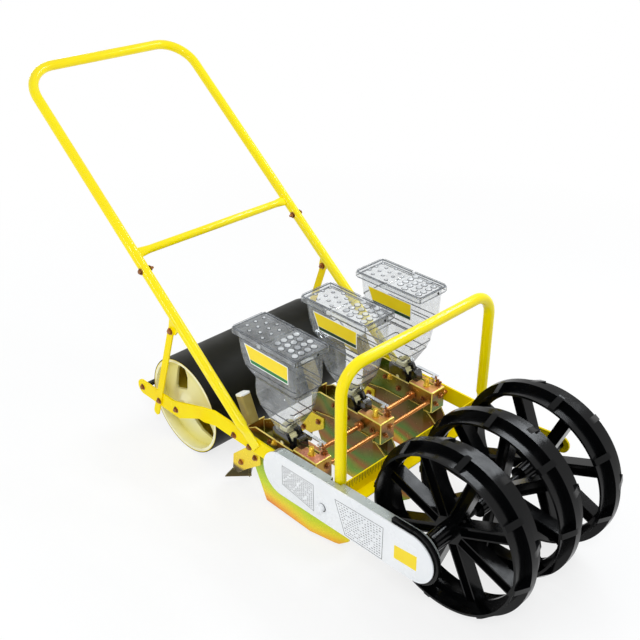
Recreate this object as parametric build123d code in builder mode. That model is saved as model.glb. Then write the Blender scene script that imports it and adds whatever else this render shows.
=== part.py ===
"""Three-row push seeder: a walking frame with three lugged drive wheels in front, a press drum
behind, and three seed units with clear hoppers between them. Front is -Y, up is +Z, and the
drive side, with the chain case, is -X. Millimetres, floor at Z = 0."""
from build123d import *
import os
from math import atan2, cos, degrees, hypot, radians, sin, tan

os.makedirs("parts", exist_ok=True)

# Drive wheels
wheel_r = 192.0          # over the rib in the middle of the tread
rib_h = 15.0
band_r = wheel_r - rib_h       # outside of the rim on each side of the rib
wheel_w = 78.0
rib_w = 18.0
rim_wall = 5.0
wheel_pitch = 147.0
spoke_count = 8
spoke_w = 26.0
spoke_deep = 30.0
spoke_wall = 3.5
spoke_floor = 7.0
web_ring_w = 11.0
hub_disc_r = 40.0
hub_r = 20.0
hub_near = 70.0
hub_far = 24.0
lug_w = 14.0
lug_lip = 3.0            # height of a lug over the rim's edge
wheel_turns = (19.0, 5.0, 22.0)
axle_r = 8.0
sprocket_r = 30.0
sprocket_t = 4.0
sprocket_teeth = 18

# Press drum
drum_r = 129.0
drum_len = 450.0
drum_wall = 4.0
cap_rim_w = 7.0
cap_depth = 34.0
cap_hub_r = 24.0
window_corners = ((54, 22), (50, 75), (40, 104), (26, 103), (4, 74), (0, 42))    # from the hub's middle
window_turns = (0.0, 152.0)
window_bend = 5.0
drum_axle_r = 8.0

# Side plates, from the wheel axle back to the drum scraper
plate_t = 5.0
plate_h = 42.0
plate_gap = 10.0         # between the drum and the front run of a plate
plate_in = drum_len / 2 + plate_gap
joggle = 10.0            # the rear run stands this much further out
rail_z = 171.0           # middle of the long straight run
rise_y = 210.0           # behind the axle, where the run starts to climb to it
step_y = (675.0, 800.0)  # behind the axle, where the plate steps down to the drum

# Frame tubes
tube_r = 12.5
handle_half = plate_in + plate_t + 3.0
handle_foot = (510.0, 187.5)   # behind the axle, above the floor, on the leg's centre line
handle_top = (1342.7, 870.4)
handle_bend = 85.0
foot_w = 34.0
foot_t = 5.0
cross_share = 0.52       # crossbar's place along the leg, from the top
cross_r = 10.0
hoop_half = plate_in + 2.3
hoop_y = 225.0
hoop_z = 494.0
hoop_bend = 58.0
tongue_t = 3.5
tongue_w = 28.0

# Places behind the axle and above the floor
drum_y = 790.0
scraper_y = 935.0
shaft_at = (377.0, 178.0)
rod_at = (327.0, 178.0)
shaft_r = 6.0
rod_r = 5.0
ruler_y = 243.0
ruler_top = 195.0
ruler_w = 31.0
ruler_t = 3.0

# Chain case
case_front = (3.0, wheel_r - 2.0)
case_rear = (shaft_at[0], shaft_at[1] - 4.0)
case_r = 51.5
case_wall = 2.0
case_deep = 24.5
case_in = plate_in + plate_t + 3.5
case_out = case_in + case_deep
sprocket_out = case_in + case_deep / 2
guard_r = 62.0
guard_out = case_out - 3.0
guard_deep = 10.0
guard_t = 2.5
guard_rear = 60.0
cover_r = 54.5
cover_t = 3.0
knob_at = (246.0, 165.0)
knob_r = 9.0
knob_h = 12.0
knob_edge = 2.0

# Seed units
unit_ends = (41.0, 42.0)       # from the end units' middles to the side plates
unit_places = (unit_ends[0] - plate_in, 11.0, plate_in - unit_ends[1])
unit_w = 49.0
sheet_t = 2.5
box_front = 317.5
box_back = 392.0
box_top = 206.0
box_bottom = 149.0
unit_side = ((352, box_bottom), (352, 200), (520, 200), (545, 185), (548, 132), (410, 124))
slot_w = 7.0
lid_w = 100.0
lid_top = 461.5
lid_front = 349.0
lid_back = 557.0
lid_skirt = 14.0
lid_t = 2.5
lid_border = 4.0
lid_sunk = 1.5           # the plate lies this far below the border
lid_seat = lid_top - lid_sunk - lid_t
hinge_y = (lid_front + lid_back) / 2
hinge_gap = 1.0
hinge_pin_r = 1.5
knuckle_r = 3.0
knuckle_mid = 14.0
knuckle_end = 38.0
hopper_wall = 2.5
hopper_bottom = 232.0
hopper_corner = 8.0
hopper_sections = (      # half width, front, rear and height, from the lid down to the roller
    (42.5, 356, 547, lid_seat), (42, 360, 538, 404), (41.5, 361, 527, 376), (40.5, 362, 502, 362),
    (37.5, 367, 497, 356), (37, 372, 501, 334), (36, 377, 500, 308), (34, 386, 490, 284),
    (31, 399, 466, 262), (24, 415, 448, hopper_bottom),
)
roller_at = (431.0, 203.0)
roller_r = 24.0
roller_w = 20.0
cell_count = 16
cell_r = 2.8
pin_r = 5.0
collar_r = 11.0
cheek_t = 8.0
brush_half = 11.0
opener_t = 3.0
opener_bottom = 7.0
opener_nose = (14, 272, 234)   # half width and place of the nose's shoulders, and the place of its tip
opener_rear = (337, 545)
opener_side = ((338, box_bottom + 8), (338, box_bottom), (330, box_bottom), (236, 44), (240, 22),
               (262, opener_bottom), (486, opener_bottom), (527, 95), (530, 140), (470, 150),
               (400, 150), (390, box_bottom + 8))
bracket_t = 3.0
blade_t = 3.0
blade_bottom = 10.0
blade_front = 578.0
blade_len = 62.0
blade_sweep = 38.0

fit = 0.05               # radial clearance of a shaft in its hole

# The row frame's origin is the middle of the box on the floor
strut_t = 4.0
far_reach = plate_in + joggle + plate_t + strut_t + 8.0
near_reach = case_out + cover_t + knob_h
mid_x = (near_reach - far_reach) / 2
length = wheel_r + handle_top[0] + tube_r
axle_y = wheel_r - length / 2
axle_z = wheel_r
handle_tilt = atan2(handle_top[1] - handle_foot[1], handle_top[0] - handle_foot[0])


def back(distance):
    """Y of a place that far behind the axle."""
    return axle_y + distance


def save(piece, name):
    piece.label = name
    export_step(piece, f"parts/{name}.step")


def round_bar(at, r, x0, x1):
    """Round bar along X at (behind axle, height)."""
    with BuildPart() as bar:
        with BuildSketch(Plane.YZ.offset(x0)):
            with Locations((back(at[0]), at[1])):
                Circle(r)
        extrude(amount=x1 - x0)
    return bar.part


def across(part, x):
    """The same piece at another place across the machine."""
    return part.moved(Location((x, 0, 0)))


# Wheels
def wheel():
    axis = Axis((0, axle_y, axle_z), (1, 0, 0))
    centre = Plane(origin=(0, axle_y, axle_z), x_dir=(0, 1, 0), z_dir=(1, 0, 0))
    section = Plane(origin=(0, axle_y, axle_z), x_dir=(1, 0, 0), z_dir=(0, -1, 0))
    half, rib, inner_r = wheel_w / 2, rib_w / 2, band_r - rim_wall
    with BuildPart() as lug:
        with BuildSketch(section.offset(-lug_w / 2)):
            with BuildLine():
                Polyline((half, band_r - 1), (half, band_r + lug_lip), (rib, wheel_r), (0, wheel_r),
                         (0, band_r - 1), close=True)
            make_face()
        extrude(amount=lug_w)
    with BuildPart() as made:
        with BuildSketch(section):
            with BuildLine():
                Polyline((-half, band_r), (-rib, band_r), (-rib, wheel_r), (rib, wheel_r), (rib, band_r),
                         (half, band_r), (half, inner_r), (-half, inner_r), close=True)
            make_face()
        revolve(axis=axis)
        with BuildSketch(centre.offset(-spoke_floor / 2)):
            Circle(inner_r + 1)
            Circle(inner_r - web_ring_w, mode=Mode.SUBTRACT)
            Circle(hub_disc_r)
        extrude(amount=spoke_floor)
        with BuildSketch(centre.offset(-spoke_deep / 2)):
            with PolarLocations(0, spoke_count):
                with Locations(((inner_r + 1) / 2, 0)):
                    Rectangle(inner_r + 1, spoke_w)
        extrude(amount=spoke_deep)
        groove_from = hub_r + 11
        groove = inner_r - web_ring_w - groove_from
        depth = (spoke_deep - spoke_floor) / 2
        for z0 in (-spoke_deep / 2, spoke_deep / 2 - depth):
            with BuildSketch(centre.offset(z0)):
                with PolarLocations(0, spoke_count):
                    with Locations((groove_from + groove / 2, 0)):
                        Rectangle(groove, spoke_w - 2 * spoke_wall)
            extrude(amount=depth, mode=Mode.SUBTRACT)
        with BuildSketch(centre.offset(-hub_near)):
            Circle(hub_r)
        extrude(amount=hub_near + hub_far)
        quarter = 90.0 / spoke_count
        near_lug = mirror(lug.part, about=Plane.YZ, mode=Mode.PRIVATE)
        for k in range(spoke_count):
            add(lug.part.rotate(axis, (4 * k + 1) * quarter))
            add(near_lug.rotate(axis, (4 * k - 1) * quarter))
        with BuildSketch(centre.offset(-hub_near)):
            Circle(axle_r)
        extrude(amount=hub_near + hub_far, mode=Mode.SUBTRACT)
    return made.part


one_wheel = wheel()
for number, step in enumerate((-1, 0, 1)):
    turned = one_wheel.rotate(Axis((0, axle_y, axle_z), (1, 0, 0)), wheel_turns[number])
    save(across(turned, mid_x + step * wheel_pitch), f"front_wheel_{number + 1}")
axle_ends = (mid_x - case_out + 6, mid_x + plate_in + plate_t + 7)
save(round_bar((0, axle_z), axle_r, *axle_ends), "front_axle")


def sprocket(at, bore):
    """Toothed disc inside the chain case at (behind axle, height)."""
    root_r = 0.88 * sprocket_r
    with BuildPart() as made:
        with BuildSketch(Plane.YZ.offset(mid_x - sprocket_out - sprocket_t / 2)):
            with Locations((back(at[0]), at[1])):
                Circle(root_r)
                with PolarLocations((root_r + sprocket_r) / 2, sprocket_teeth):
                    Trapezoid(4.0, sprocket_r - root_r + 1, 70, rotation=-90)
                Circle(bore, mode=Mode.SUBTRACT)
        extrude(amount=sprocket_t)
    return made.part


save(sprocket((0, axle_z), axle_r), "axle_sprocket")
save(sprocket(shaft_at, shaft_r), "shaft_sprocket")


# Drum
def drum_shell():
    with BuildPart() as made:
        with BuildSketch(Plane.YZ.offset(mid_x - drum_len / 2)):
            with Locations((back(drum_y), drum_r)):
                Circle(drum_r)
                Circle(drum_r - drum_wall, mode=Mode.SUBTRACT)
        extrude(amount=drum_len)
    return made.part


def drum_cap(side):
    """Dished end disc: rim, cone, hub and two tapered windows."""
    outer = drum_r - drum_wall
    face = mid_x + side * drum_len / 2
    with BuildPart() as made:
        with BuildSketch(Plane.XY.offset(drum_r)):
            with BuildLine():
                Polyline(*[
                    (face + side * dx, back(drum_y) + r) for dx, r in (
                        (0, outer), (-cap_depth - 16, outer), (-cap_depth - 16, outer - 3),
                        (-cap_depth, outer - 6), (-cap_depth + 14, cap_hub_r + 12),
                        (-cap_depth, cap_hub_r), (-cap_depth - 16, cap_hub_r),
                        (-cap_depth - 16, drum_axle_r + fit), (4, drum_axle_r + fit), (4, cap_hub_r - 6),
                        (-cap_depth + 22, cap_hub_r + 10), (-cap_depth + 6, outer - cap_rim_w),
                        (0, outer - cap_rim_w),
                    )
                ], close=True)
            make_face()
        revolve(axis=Axis((mid_x, back(drum_y), drum_r), (1, 0, 0)))
        with BuildSketch(Plane.YZ.offset(face - side * cap_depth * 2)):
            for turn in window_turns:
                with Locations(Location((back(drum_y), drum_r), turn)):
                    Polygon(*window_corners, align=None)
            fillet(vertices(), window_bend)
        extrude(amount=side * cap_depth * 2, mode=Mode.SUBTRACT)
    return made.part


save(drum_shell(), "drum_shell")
save(drum_cap(-1), "drum_cap_drive")
save(drum_cap(1), "drum_cap_free")
drum_axle_half = plate_in + joggle + plate_t
save(round_bar((drum_y, drum_r), drum_axle_r, mid_x - drum_axle_half, mid_x + drum_axle_half), "drum_axle")


# Side plates
def side_plate(side):
    """Flat bar from the wheel axle to the scraper, joggled outwards beside the drum."""
    half = plate_h / 2
    with BuildPart() as made:
        with BuildSketch(Plane.YZ.offset(mid_x - plate_in - 30 if side < 0 else mid_x + plate_in - 10)):
            with BuildLine():
                Polyline(
                    (back(0), axle_z - half), (back(rise_y), rail_z - half),
                    (back(step_y[0] + 20), rail_z - half), (back(step_y[1] - 20), drum_r - half),
                    (back(scraper_y), drum_r - half), (back(scraper_y), drum_r + half),
                    (back(step_y[1]), drum_r + half), (back(step_y[0]), rail_z + half),
                    (back(rise_y), rail_z + half), (back(0), axle_z + half), close=True,
                )
            make_face()
            with Locations((back(0), axle_z), (back(scraper_y), drum_r)):
                Circle(half)
            with Locations((back(0), axle_z)):
                Circle(axle_r + fit, mode=Mode.SUBTRACT)
            with Locations((back(drum_y), drum_r)):
                Circle(drum_axle_r, mode=Mode.SUBTRACT)
            with Locations((back(rod_at[0]), rod_at[1])):
                Circle(rod_r, mode=Mode.SUBTRACT)
            with Locations((back(shaft_at[0]), shaft_at[1])):
                Circle(shaft_r + fit, mode=Mode.SUBTRACT)
        extrude(amount=40)
        with BuildSketch(Plane.XY.offset(0)):
            inner = ((plate_in, -60), (plate_in, step_y[0] - 30), (plate_in + joggle, step_y[0]),
                     (plate_in + joggle, scraper_y + 60))
            outer = [(x + plate_t, y) for x, y in reversed(inner)]
            with BuildLine():
                Polyline(*[(mid_x + side * x, back(y)) for x, y in (*inner, *outer)], close=True)
            make_face()
        extrude(amount=2 * wheel_r, mode=Mode.INTERSECT)
    return made.part


for side, word in ((-1, "drive"), (1, "free")):
    save(side_plate(side), f"side_plate_{word}")

leg_dir = Vector(0, cos(handle_tilt), sin(handle_tilt))


def on_leg(distance, x):
    """Point on a leg's centre line, this far up from the foot."""
    return Vector(x, back(handle_foot[0]), handle_foot[1]) + leg_dir * distance


strut_y = 776.0
strut_drop = 42.6474           # from the leg's centre line down to the strut's top bolt
strut_top = (strut_y, handle_foot[1] + (strut_y - handle_foot[0]) * tan(handle_tilt) - strut_drop)
strut_low = (860.0, drum_r)
strut_w = 20.0


def handle():
    tube_from = 36.0
    with BuildPart() as made:
        top_y, top_z = back(handle_top[0]), handle_top[1]
        with BuildLine():
            path = FilletPolyline(
                on_leg(tube_from, mid_x - handle_half), (mid_x - handle_half, top_y, top_z),
                (mid_x + handle_half, top_y, top_z), on_leg(tube_from, mid_x + handle_half),
                radius=handle_bend,
            )
        with BuildSketch(Plane(origin=path @ 0, z_dir=path % 0)):
            Circle(tube_r)
        sweep(path=path)
        for side in (-1, 1):
            x = mid_x + side * handle_half
            foot_x = mid_x + side * (plate_in + plate_t + foot_t / 2)
            cross = Vector(1, 0, 0)
            with BuildSketch(Plane(origin=on_leg(tube_from, x), x_dir=cross, z_dir=-leg_dir)):
                Circle(tube_r)
            with BuildSketch(Plane(origin=on_leg(6, foot_x), x_dir=cross, z_dir=-leg_dir)):
                RectangleRounded(foot_t, foot_w, 2)
            loft()
            with BuildSketch(Plane(origin=on_leg(6, foot_x), x_dir=cross, z_dir=-leg_dir)):
                RectangleRounded(foot_t, foot_w, 2)
            extrude(amount=34)
            tab_x = mid_x + side * (plate_in + joggle + plate_t)
            start = on_leg(hypot(strut_top[0] - handle_foot[0], strut_top[1] - handle_foot[1]) - 16, 0)
            tab_y, tab_z = back(strut_top[0]), strut_top[1]
            with BuildSketch(Plane.YZ.offset(tab_x if side < 0 else tab_x - strut_t)):
                with BuildLine():
                    Polyline(
                        (start.Y, start.Z), (start.Y + leg_dir.Y * 44, start.Z + leg_dir.Z * 44),
                        (tab_y + 13, tab_z), (tab_y + 4, tab_z - 12), (tab_y - 12, tab_z - 8), close=True,
                    )
                make_face()
            extrude(amount=strut_t)
    return made.part


def handle_leg(x):
    """Straight run of one leg, used to cut what is welded to it."""
    with BuildPart() as made:
        with BuildSketch(Plane(origin=on_leg(0, x), z_dir=leg_dir)):
            Circle(tube_r)
        extrude(amount=1100)
    return made.part


def crossbar():
    share = 1 - cross_share
    leg_len = hypot(handle_top[0] - handle_foot[0], handle_top[1] - handle_foot[1])
    at = on_leg(leg_len * share, mid_x)
    flat = 40.0
    with BuildPart() as made:
        run = handle_half - flat
        with BuildSketch(Plane(origin=(mid_x - run, at.Y, at.Z), x_dir=leg_dir, z_dir=(1, 0, 0))):
            Circle(cross_r)
        extrude(amount=2 * run)
        for side in (-1, 1):
            bar_end = Plane(origin=(mid_x + side * run, at.Y, at.Z), x_dir=leg_dir, z_dir=(side, 0, 0))
            with BuildSketch(bar_end):
                Circle(cross_r)
            with BuildSketch(bar_end.offset(flat)):
                Ellipse(15, 4.5)
            loft()
        for side in (-1, 1):
            add(handle_leg(mid_x + side * handle_half), mode=Mode.SUBTRACT)
    return made.part


def strut(side):
    low = Vector(back(strut_low[0]), strut_low[1])
    top = Vector(back(strut_top[0]), strut_top[1])
    run = (low - top).normalized()
    tail = low + run * 48
    middle = (top + tail) / 2
    x = mid_x + side * (plate_in + joggle + plate_t)
    with BuildPart() as made:
        with BuildSketch(Plane.YZ.offset(x if side > 0 else x - strut_t)):
            with Locations(Location((middle.X, middle.Y), degrees(atan2(run.Y, run.X)))):
                SlotCenterToCenter((tail - top).length, strut_w)
            with Locations((back(drum_y), drum_r)):
                Circle(drum_axle_r + 12, mode=Mode.SUBTRACT)
        extrude(amount=strut_t)
    return made.part


def hoop():
    tube_end = 226.0
    tongue_top = 198.0
    with BuildPart() as made:
        y = back(hoop_y)
        with BuildLine():
            path = FilletPolyline(
                (mid_x - hoop_half, y, tube_end), (mid_x - hoop_half, y, hoop_z),
                (mid_x + hoop_half, y, hoop_z), (mid_x + hoop_half, y, tube_end), radius=hoop_bend,
            )
        with BuildSketch(Plane(origin=path @ 0, z_dir=path % 0)):
            Circle(tube_r)
        sweep(path=path)
        for side in (-1, 1):
            tongue_x = mid_x + side * (plate_in + plate_t + tongue_t / 2)
            down = Vector(0, 0, -1)
            tube_cut = Plane(origin=(mid_x + side * hoop_half, y, tube_end), x_dir=(1, 0, 0), z_dir=down)
            tongue_cut = Plane(origin=(tongue_x, y, tongue_top), x_dir=(1, 0, 0), z_dir=down)
            with BuildSketch(tube_cut):
                Circle(tube_r)
            with BuildSketch(tongue_cut):
                RectangleRounded(tongue_t, tongue_w, 1.5)
            loft()
            with BuildSketch(tongue_cut):
                RectangleRounded(tongue_t, tongue_w, 1.5)
            extrude(amount=tongue_top - rail_z + plate_h / 2 - 8)
    return made.part


def ruler_bar():
    """Angle that the row spacing is read from, with a foot at each end."""
    bottom = rail_z - plate_h / 2
    with BuildPart() as made:
        with BuildSketch(Plane.YZ.offset(mid_x - plate_in)):
            with BuildLine():
                Polyline(*[(back(ruler_y) - y, bottom + z) for y, z in (
                    (0, 0), (ruler_w, 0), (ruler_w, ruler_t), (ruler_t, ruler_t),
                    (ruler_t, ruler_top - bottom), (0, ruler_top - bottom))], close=True)
            make_face()
        extrude(amount=2 * plate_in)
        for side in (-1, 1):
            with BuildSketch(Plane.YZ.offset(mid_x - plate_in if side < 0 else mid_x + plate_in - ruler_t)):
                with Locations((back(ruler_y) - 20, bottom + plate_h / 2)):
                    Rectangle(40, plate_h)
            extrude(amount=ruler_t)
    return made.part


def scraper():
    """Bar behind the drum, between the plates' rear ends, with a blade near the drum."""
    y, z = back(scraper_y), drum_r
    half = plate_in + joggle
    with BuildPart() as made:
        with BuildSketch(Plane.YZ.offset(mid_x - half)):
            with Locations((y, z)):
                Circle(7)
            with BuildLine():
                Polyline((y, z + 3), (back(drum_y) + drum_r + 3, z + 8), (back(drum_y) + drum_r + 3, z + 5),
                         (y, z - 1), close=True)
            make_face()
        extrude(amount=2 * half)
        for side in (-1, 1):
            with BuildSketch(Plane.YZ.offset(mid_x + side * half - (0 if side < 0 else 22))):
                with Locations((y - 15, z)):
                    Rectangle(16, 24)
            extrude(amount=22, mode=Mode.SUBTRACT)
    return made.part


save(handle(), "handle")
save(crossbar(), "handle_crossbar")
for side, word in ((-1, "drive"), (1, "free")):
    save(strut(side), f"handle_strut_{word}")
save(hoop(), "front_hoop")
save(ruler_bar(), "spacing_angle")
save(scraper(), "drum_scraper")
save(round_bar(rod_at, rod_r, mid_x - plate_in - plate_t, mid_x + plate_in + plate_t), "unit_rod")


# Chain case
def obround(r):
    """Outline of the case: rounds about its front and rear centres, with their common tangents."""
    dy, dz = case_rear[0] - case_front[0], case_rear[1] - case_front[1]
    middle = (back(case_front[0] + dy / 2), case_front[1] + dz / 2)
    with Locations(Location(middle, degrees(atan2(dz, dy)))):
        SlotCenterToCenter(hypot(dy, dz), 2 * r)


def obround_bar(r, x_out, x_in):
    """Solid with the case's outline between two distances out from the middle."""
    with BuildPart() as made:
        with BuildSketch(Plane.YZ.offset(mid_x - x_out)):
            obround(r)
        extrude(amount=x_out - x_in)
    return made.part


def case_channel():
    """Open shell with bosses against the side plate, notched for the hoop's foot."""
    with BuildPart() as made:
        add(obround_bar(case_r, case_out, case_in))
        add(obround_bar(case_r - case_wall, case_out, case_in + case_wall), mode=Mode.SUBTRACT)
        for at, r in (((0, axle_z), axle_r), (shaft_at, shaft_r)):
            add(round_bar(at, r + 9, mid_x - case_in, mid_x - plate_in - plate_t))
            add(round_bar(at, r + fit, mid_x - case_out, mid_x - plate_in), mode=Mode.SUBTRACT)
        with Locations((mid_x - hoop_half, back(hoop_y), axle_z + 40)):
            Box(2 * tube_r + 4, 2 * tube_r + 6, 72, mode=Mode.SUBTRACT)
    return made.part


def case_guard():
    """Ring round the front of the case, with a flat face and a wall."""
    guard_in = guard_out - guard_deep
    with BuildPart() as made:
        add(obround_bar(guard_r, guard_out, guard_in))
        add(obround_bar(guard_r - guard_t, guard_out - guard_t, guard_in), mode=Mode.SUBTRACT)
        add(obround_bar(case_r + fit, guard_out, guard_in), mode=Mode.SUBTRACT)
        with Locations((mid_x - case_out, back(guard_rear), axle_z)):
            Box(4 * guard_r, shaft_at[0] + guard_r, 4 * guard_r,
                align=(Align.CENTER, Align.MIN, Align.CENTER), mode=Mode.SUBTRACT)
    return made.part


def case_cover():
    with BuildPart() as made:
        with BuildSketch(Plane.YZ.offset(mid_x - case_out - cover_t)):
            obround(cover_r)
        extrude(amount=cover_t)
    return made.part


def cover_knob():
    with BuildPart() as made:
        with BuildSketch(Plane.YZ.offset(mid_x - case_out - cover_t - knob_h)):
            with Locations((back(knob_at[0]), knob_at[1])):
                Circle(knob_r)
        extrude(amount=knob_h)
        chamfer(made.faces().sort_by(Axis.X)[0].edges(), knob_edge)
    return made.part


save(case_channel(), "chain_case")
save(case_guard(), "case_guard")
save(case_cover(), "case_cover")
save(cover_knob(), "cover_knob")
with BuildPart() as drive_shaft:
    add(round_bar(shaft_at, shaft_r, mid_x - case_out + 6, mid_x + plate_in + plate_t + 5))
    for place in unit_places:
        beside = mid_x + place - unit_w / 2 - opener_t - 1
        add(round_bar(shaft_at, collar_r, beside - 10, beside))
save(drive_shaft.part, "drive_shaft")


# Seed units
def yz_sheet(points, x0, thick):
    """Flat sheet with this outline, as (behind axle, height), from x0 over its thickness."""
    with BuildPart() as made:
        with BuildSketch(Plane.YZ.offset(x0)):
            with BuildLine():
                Polyline(*[(back(y), z) for y, z in points], close=True)
            make_face()
        extrude(amount=thick)
    return made.part


def unit_frame():
    """Bent sheet channel that slides on the rod, with long sides and a rear plate."""
    run, tall = box_back - box_front, box_top - box_bottom
    with BuildPart() as made:
        with Locations((0, back(box_front + run / 2), box_bottom + tall / 2)):
            Box(unit_w, run, tall)
        bends = made.faces().sort_by(Axis.Z)[-1].edges().sort_by(Axis.Y)[:3]
        uprights = made.edges().filter_by(Axis.Z).sort_by(Axis.Y)[:2]
        fillet([*bends, *uprights], 4)
        with Locations((0, back(box_front + run / 2) + sheet_t, box_bottom + tall / 2 - sheet_t)):
            Box(unit_w - 2 * sheet_t, run, tall, mode=Mode.SUBTRACT)
        for x0 in (-unit_w / 2, unit_w / 2 - sheet_t):
            add(yz_sheet(unit_side, x0, sheet_t))
        with Locations((0, back(545), 168)):
            Box(unit_w, sheet_t, 50)
        with BuildSketch(Plane.XY.offset(box_top)):
            with Locations(Location((8, back(362)), 90)):
                SlotOverall(42, slot_w)
        extrude(amount=-2 * sheet_t, mode=Mode.SUBTRACT)
        with BuildSketch(Plane.YZ.offset(-unit_w / 2)):
            with Locations((back(rod_at[0]), rod_at[1])):
                Circle(rod_r)
            with Locations((back(shaft_at[0]), shaft_at[1])):
                Circle(shaft_r + fit)
        extrude(amount=unit_w, mode=Mode.SUBTRACT)
    return made.part


def opener():
    """Boat-shaped furrow opener over the unit's sides: a plan outline cut to a side outline."""
    inside = unit_w / 2
    outside = inside + opener_t
    (nose, shoulder, tip), (widest, rear) = opener_nose, opener_rear
    plan = ((outside, rear), (outside, widest), (nose, shoulder), (0, tip), (-nose, shoulder),
            (-outside, widest), (-outside, rear))
    hollow = ((inside, rear + 15), (inside, widest), (nose - opener_t, shoulder + 5), (0, tip + 10),
              (opener_t - nose, shoulder + 5), (-inside, widest), (-inside, rear + 15))
    with BuildPart() as made:
        with BuildSketch():
            with BuildLine():
                Polyline(*[(dx, back(dy)) for dx, dy in plan], close=True)
            make_face()
            with BuildLine():
                Polyline(*[(dx, back(dy)) for dx, dy in hollow], close=True)
            make_face(mode=Mode.SUBTRACT)
        extrude(amount=250)
        add(yz_sheet(opener_side, -60, 120), mode=Mode.INTERSECT)
    return made.part


def hopper():
    """Clear seed box with a stepped waist and a funnel, open at the top and the bottom."""
    with BuildPart() as made:
        for inset, mode in ((0.0, Mode.ADD), (hopper_wall, Mode.SUBTRACT)):
            for upper, lower in zip(hopper_sections, hopper_sections[1:]):
                for half, front, rear, z in (lower, upper):
                    past = inset and (z == lid_seat) - (z == hopper_bottom)
                    with BuildSketch(Plane.XY.offset(z + past)):
                        with Locations((0, back((front + rear) / 2))):
                            RectangleRounded(2 * (half - inset), rear - front - 2 * inset,
                                             hopper_corner - inset)
                loft(ruled=True, mode=mode)
    return made.part


def hinge_bar(x0, x1, r):
    """Short bar along X on a lid's hinge line."""
    return round_bar((hinge_y, lid_seat + lid_t), r, x0, x1)


def lid_half(flap):
    """Half of the lid: a sunk plate with a border, a skirt on three sides and its share of the hinge."""
    y0, y1 = (lid_front, hinge_y - hinge_gap / 2) if flap else (hinge_y + hinge_gap / 2, lid_back)
    inward = 1 if flap else -1
    outer_spans = ((-knuckle_end, -knuckle_mid - 0.3), (knuckle_mid + 0.3, knuckle_end))
    middle_span = ((-knuckle_mid, knuckle_mid),)
    own, other = (middle_span, outer_spans) if flap else (outer_spans, middle_span)
    with BuildPart() as made:
        middle, run = back((y0 + y1) / 2), y1 - y0
        with Locations((0, middle, lid_top - lid_skirt / 2)):
            Box(lid_w, run, lid_skirt)
        vertical = made.edges().filter_by(Axis.Z).sort_by(Axis.Y)
        fillet(vertical[:2] if flap else vertical[-2:], 9)
        with Locations((0, middle + inward * (lid_t + 2) / 2, lid_seat - lid_skirt / 2)):
            Box(lid_w - 2 * lid_t, run - lid_t + 2, lid_skirt, mode=Mode.SUBTRACT)
        with Locations((0, middle + inward * (lid_border + 2) / 2, lid_top)):
            Box(lid_w - 2 * lid_border, run - lid_border + 2, 2 * lid_sunk, mode=Mode.SUBTRACT)
        with Locations((0, back(hinge_y), lid_top)):
            Box(lid_w + 2, 2 * lid_border, 2 * lid_sunk, mode=Mode.SUBTRACT)
        for x0, x1 in other:
            add(hinge_bar(x0 - 0.3, x1 + 0.3, knuckle_r + 0.6), mode=Mode.SUBTRACT)
        for x0, x1 in own:
            add(hinge_bar(x0, x1, knuckle_r))
        if flap:
            add(hinge_bar(-knuckle_end, knuckle_end, hinge_pin_r + fit), mode=Mode.SUBTRACT)
        else:
            add(hinge_bar(-knuckle_end, knuckle_end, hinge_pin_r))
    return made.part


def roller():
    """Seed roller with a ring of cells and its two pins."""
    with BuildPart() as made:
        with BuildSketch(Plane.YZ.offset(-roller_w / 2)):
            with Locations((back(roller_at[0]), roller_at[1])):
                Circle(roller_r)
                with PolarLocations(roller_r, cell_count):
                    RegularPolygon(cell_r, 6, mode=Mode.SUBTRACT)
        extrude(amount=roller_w)
        pins = unit_w / 2 - sheet_t - 0.5
        add(round_bar(roller_at, pin_r, -pins, pins))
    return made.part


def housing():
    """Cheeks that carry the roller and the hopper, with the brush block in front."""
    half = unit_w / 2 - sheet_t
    y, z = roller_at
    cheek = ((y - 27, z - 43), (y - 27, z + 12), (y - 16, hopper_bottom), (y + 29, hopper_bottom),
             (y + 29, z - 43))
    block = ((y - 27, z + 3), (y - 53, box_top), (y - 50, box_top + 20), (y - 42, box_top + 26),
             (y - 26, box_top + 18))
    with BuildPart() as made:
        for x0 in (-half, half - cheek_t):
            add(yz_sheet(cheek, x0, cheek_t))
        add(yz_sheet(block, -brush_half, 2 * brush_half))
        add(yz_sheet(((y - 27, z - 20), (y - 27, z + 12), (y - 24.5, z + 12), (y - 24.5, z - 20)),
                     -half, 2 * half))
        add(round_bar(roller_at, pin_r + fit, -half, half), mode=Mode.SUBTRACT)
    return made.part


def coverer():
    """Two arms that carry a chevron blade behind the opener, its wings swept back and cut to a point."""
    inside = unit_w / 2 + opener_t
    arm = ((500, 134), (500, 104), (552, 64), (586, blade_bottom + 24), (606, blade_bottom + 24), (600, 84),
           (545, 134))
    wing = ((-blade_t, 0), (blade_len, 4), (blade_len - 6, 12), (blade_len - 26, 34), (-blade_t, 36))
    sweep_back = radians(blade_sweep)
    with BuildPart() as made:
        for side in (-1, 1):
            add(yz_sheet(arm, inside if side > 0 else -inside - blade_t, blade_t))
            with BuildSketch(Plane(origin=(0, back(blade_front), blade_bottom),
                                   x_dir=(side * cos(sweep_back), sin(sweep_back), 0),
                                   z_dir=(-side * sin(sweep_back), cos(sweep_back), 0))):
                Polygon(*[(s, side * -z) for s, z in wing], align=None)
            extrude(amount=blade_t)
    return made.part


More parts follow.
